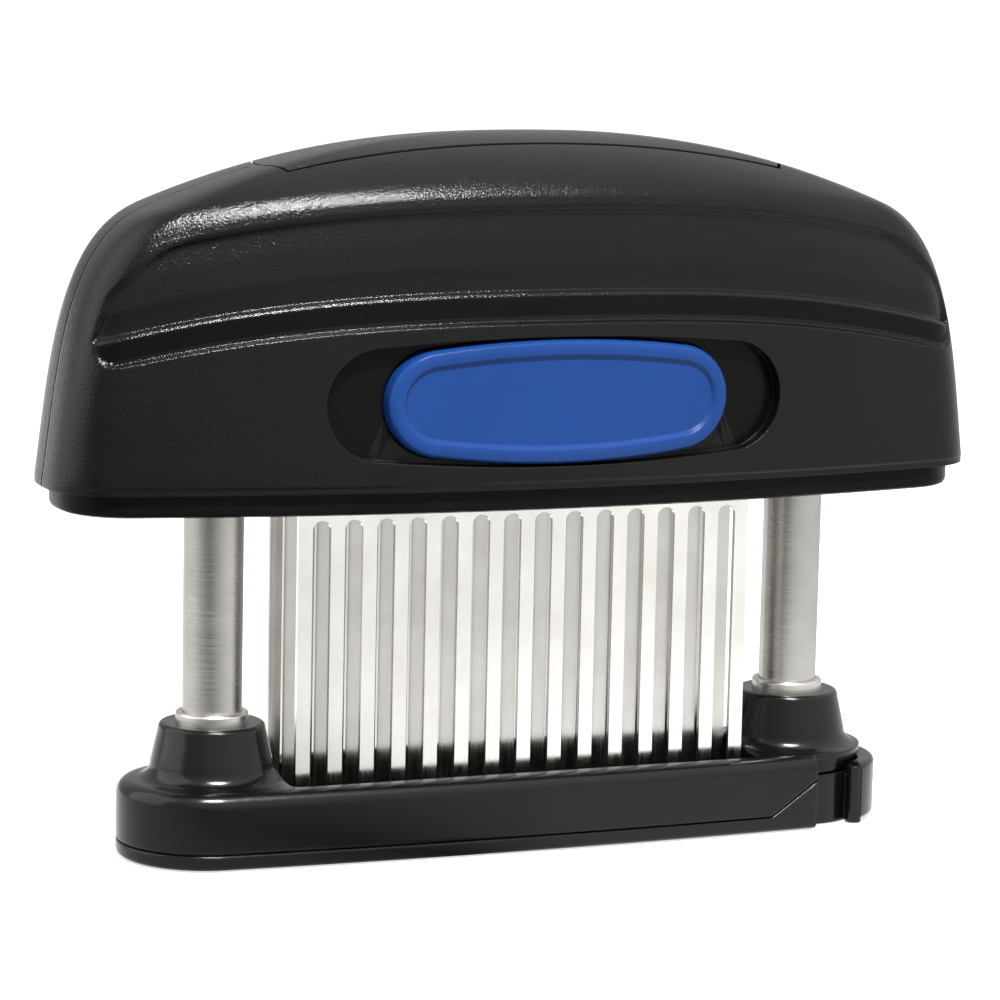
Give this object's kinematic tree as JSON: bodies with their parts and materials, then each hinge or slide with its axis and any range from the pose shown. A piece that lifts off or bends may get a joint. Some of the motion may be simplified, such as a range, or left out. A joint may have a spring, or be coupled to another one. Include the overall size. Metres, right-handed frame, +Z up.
{
  "type": "blade meat tenderizer",
  "caption": "Hand meat tenderizer: combs of pointed blades hang from a domed grip that slides on sprung columns and pushes them through a slotted foot plate.",
  "frame": {"origin": "on the resting face of the foot plate, midway between the two columns", "axes": "+X along the handle towards the pull tab of the foot plate, +Y from front to back, +Z up"},
  "size_m": [0.1398, 0.0388, 0.1023],
  "materials": {
    "black_abs": "satin moulded ABS with a fine grain",
    "black_insert": "satin moulded ABS, slightly smoother than the shell",
    "black_frame": "satin moulded ABS",
    "black_block": "matt moulded ABS",
    "black_base": "satin moulded ABS",
    "blue_abs": "semi-gloss moulded ABS",
    "column_steel": "stainless, brushed around the tube",
    "blade_steel": "stainless sheet, ground along the blades",
    "spring_steel": "drawn spring wire",
    "plated_steel": "zinc plated"
  },
  "bodies": {
    "foot": {"foot_plate": "black_base"},
    "base": {"base_body": "black_base", "left_column": "column_steel", "right_column": "column_steel", "left_collar": "column_steel", "right_collar": "column_steel", "left_foot_plug": "plated_steel", "right_foot_plug": "plated_steel", "column_screws": "plated_steel", "left_return_spring": "spring_steel", "right_return_spring": "spring_steel"},
    "handle": {"handle_shell": "black_abs", "top_insert": "black_insert", "bottom_frame": "black_frame", "frame_screws": "plated_steel", "cartridge_block": "black_block", "front_knife_comb": "blade_steel", "middle_knife_comb": "blade_steel", "rear_knife_comb": "blade_steel", "comb_pins": "plated_steel", "left_push_rod": "plated_steel", "right_push_rod": "plated_steel", "front_button_springs": "spring_steel", "rear_button_springs": "spring_steel"},
    "front_button": {"front_button": "blue_abs"},
    "rear_button": {"rear_button": "blue_abs"}
  },
  "joints": [
    {"name": "base_tilt", "type": "hinge", "parent": "foot", "child": "base", "pos_m": [-0.0585, 0, 0.00235], "axis": [0, -1, 0], "range_deg": [0, 60]},
    {"name": "handle_slide", "type": "slide", "parent": "base", "child": "handle", "axis": [0, 0, -1], "range_m": [0, 0.029], "stiffness_N_per_m": 600, "springref_m": -0.02, "deforming": ["left_return_spring", "right_return_spring"]},
    {"name": "front_button_press", "type": "slide", "parent": "handle", "child": "front_button", "axis": [0, 1, 0], "range_m": [0, 0.0026], "stiffness_N_per_m": 800, "springref_m": -0.002, "deforming": ["front_button_springs"]},
    {"name": "rear_button_press", "type": "slide", "parent": "handle", "child": "rear_button", "axis": [0, -1, 0], "range_m": [0, 0.0026], "stiffness_N_per_m": 800, "springref_m": -0.002, "deforming": ["rear_button_springs"]}
  ]
}
